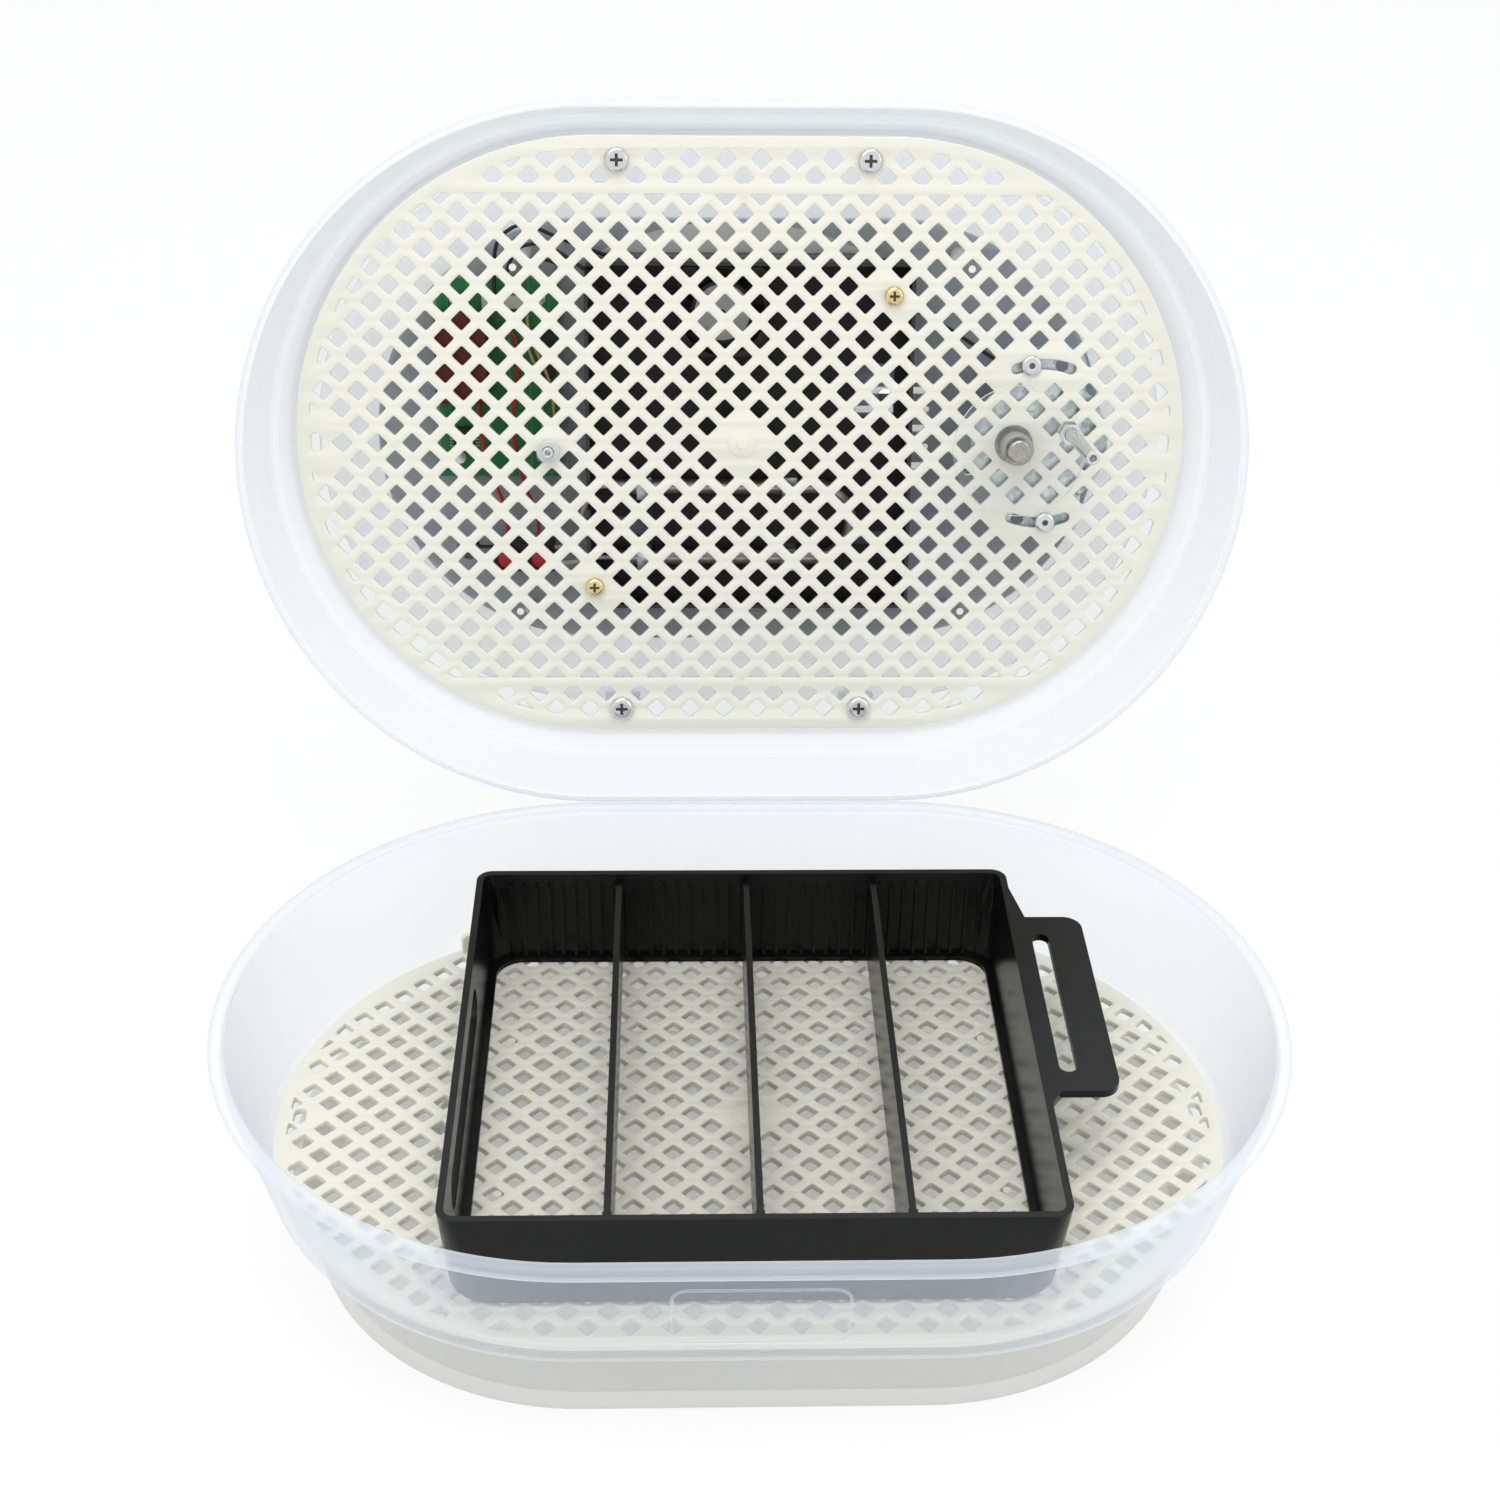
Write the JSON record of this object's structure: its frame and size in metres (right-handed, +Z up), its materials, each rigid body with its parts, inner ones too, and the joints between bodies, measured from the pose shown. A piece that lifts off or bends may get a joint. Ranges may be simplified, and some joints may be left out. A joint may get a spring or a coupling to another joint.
{
  "type": "egg incubator",
  "caption": "Small racetrack-shaped egg incubator: clear tub with lattice floor, sliding egg tray with dividers, and an opened lid with fan, heater, controller and turner crank.",
  "frame": {"origin": "middle of the tub's flat foot, on the surface it stands on", "axes": "+X to the right along the long side, -Y to the front, +Z up; the lid stands open on the rear rim"},
  "size_m": [0.392, 0.4031, 0.3595],
  "materials": {
    "tub_plastic": "satin",
    "cream_plastic": "satin",
    "black_gloss": "gloss",
    "black_matt": "matt",
    "cover_grey": "satin",
    "button_grey": "matt",
    "clear_plastic": "gloss",
    "zinc_steel": "polished",
    "galvanised": "satin",
    "brass_plate": "polished",
    "heater_tube": "satin",
    "board_green": "satin",
    "relay_brown": "satin",
    "part_pale": "satin",
    "red_sleeve": "satin",
    "black_sleeve": "satin",
    "white_sleeve": "satin"
  },
  "bodies": {
    "base": {"base_tub": "tub_plastic"},
    "floor_grid": {"floor_grid": "cream_plastic"},
    "egg_tray": {"egg_tray": "black_gloss"},
    "divider_1": {"divider_1": "black_gloss"},
    "divider_2": {"divider_2": "black_gloss"},
    "divider_3": {"divider_3": "black_gloss"},
    "lid": {"board_screws": "zinc_steel", "capacitors": "part_pale", "control_board": "board_green", "controller_chip": "black_matt", "cover_screws": "zinc_steel", "display_module": "black_matt", "display_window": "clear_plastic", "fan_frame": "black_matt", "fan_housing": "black_matt", "fan_leads": "black_sleeve", "grid_screws": "zinc_steel", "heater": "heater_tube", "heater_clips": "black_matt", "heater_leads": "white_sleeve", "housing_screws": "brass_plate", "inlet_pins": "zinc_steel", "lid_grid": "cream_plastic", "lid_shell": "tub_plastic", "mains_leads": "black_sleeve", "motor_bracket": "galvanised", "motor_can": "galvanised", "motor_coil": "black_matt", "motor_end_plate": "galvanised", "motor_lead": "black_sleeve", "pin_header": "black_matt", "power_inlet": "black_sleeve", "probe": "zinc_steel", "probe_clip": "clear_plastic", "probe_leads": "white_sleeve", "red_leads": "red_sleeve", "relay": "relay_brown", "rivets": "zinc_steel", "tact_switches": "part_pale", "terminal_block": "black_matt", "terminal_caps": "red_sleeve", "top_cover": "cover_grey"},
    "crank": {"crank_hub": "zinc_steel", "crank_disc": "clear_plastic", "crank_screw": "zinc_steel", "crank_pin": "zinc_steel", "crank_nuts": "zinc_steel"},
    "fan": {"fan_rotor": "black_matt"},
    "button_1": {"button_1": "button_grey"},
    "button_2": {"button_2": "button_grey"},
    "button_3": {"button_3": "button_grey"},
    "button_4": {"button_4": "button_grey"}
  },
  "joints": [
    {"name": "lid_hinge", "type": "hinge", "parent": "base", "child": "lid", "pos_m": [0, 0.1337, 0.097], "axis": [1, 0, 0], "range_deg": [0, 104.24]},
    {"name": "floor_grid_lift", "type": "slide", "parent": "base", "child": "floor_grid", "axis": [0, 0, -1], "range_m": [-0.06, 0]},
    {"name": "tray_slide", "type": "slide", "parent": "floor_grid", "child": "egg_tray", "axis": [-1, 0, 0], "range_m": [-0.0205, 0.0205]},
    {"name": "divider_1_lift", "type": "slide", "parent": "egg_tray", "child": "divider_1", "axis": [0, 0, -1], "range_m": [-0.045, 0]},
    {"name": "divider_2_lift", "type": "slide", "parent": "egg_tray", "child": "divider_2", "axis": [0, 0, -1], "range_m": [-0.045, 0]},
    {"name": "divider_3_lift", "type": "slide", "parent": "egg_tray", "child": "divider_3", "axis": [0, 0, -1], "range_m": [-0.045, 0]},
    {"name": "crank_spin", "type": "hinge", "parent": "lid", "child": "crank", "pos_m": [0.111, 0.16659, 0.22659], "axis": [0, -0.9693, 0.246], "continuous": true},
    {"name": "fan_spin", "type": "hinge", "parent": "lid", "child": "fan", "pos_m": [-0.008, 0.17938, 0.27699], "axis": [0, -0.9693, 0.246], "continuous": true},
    {"name": "button_1_press", "type": "slide", "parent": "lid", "child": "button_1", "axis": [0, -0.9693, 0.246], "range_m": [0, 0.0012], "stiffness_N_per_m": 300, "springref_m": -0.001},
    {"name": "button_2_press", "type": "slide", "parent": "lid", "child": "button_2", "axis": [0, -0.9693, 0.246], "range_m": [0, 0.0012], "stiffness_N_per_m": 300, "springref_m": -0.001},
    {"name": "button_3_press", "type": "slide", "parent": "lid", "child": "button_3", "axis": [0, -0.9693, 0.246], "range_m": [0, 0.0012], "stiffness_N_per_m": 300, "springref_m": -0.001},
    {"name": "button_4_press", "type": "slide", "parent": "lid", "child": "button_4", "axis": [0, -0.9693, 0.246], "range_m": [0, 0.0012], "stiffness_N_per_m": 300, "springref_m": -0.001}
  ]
}
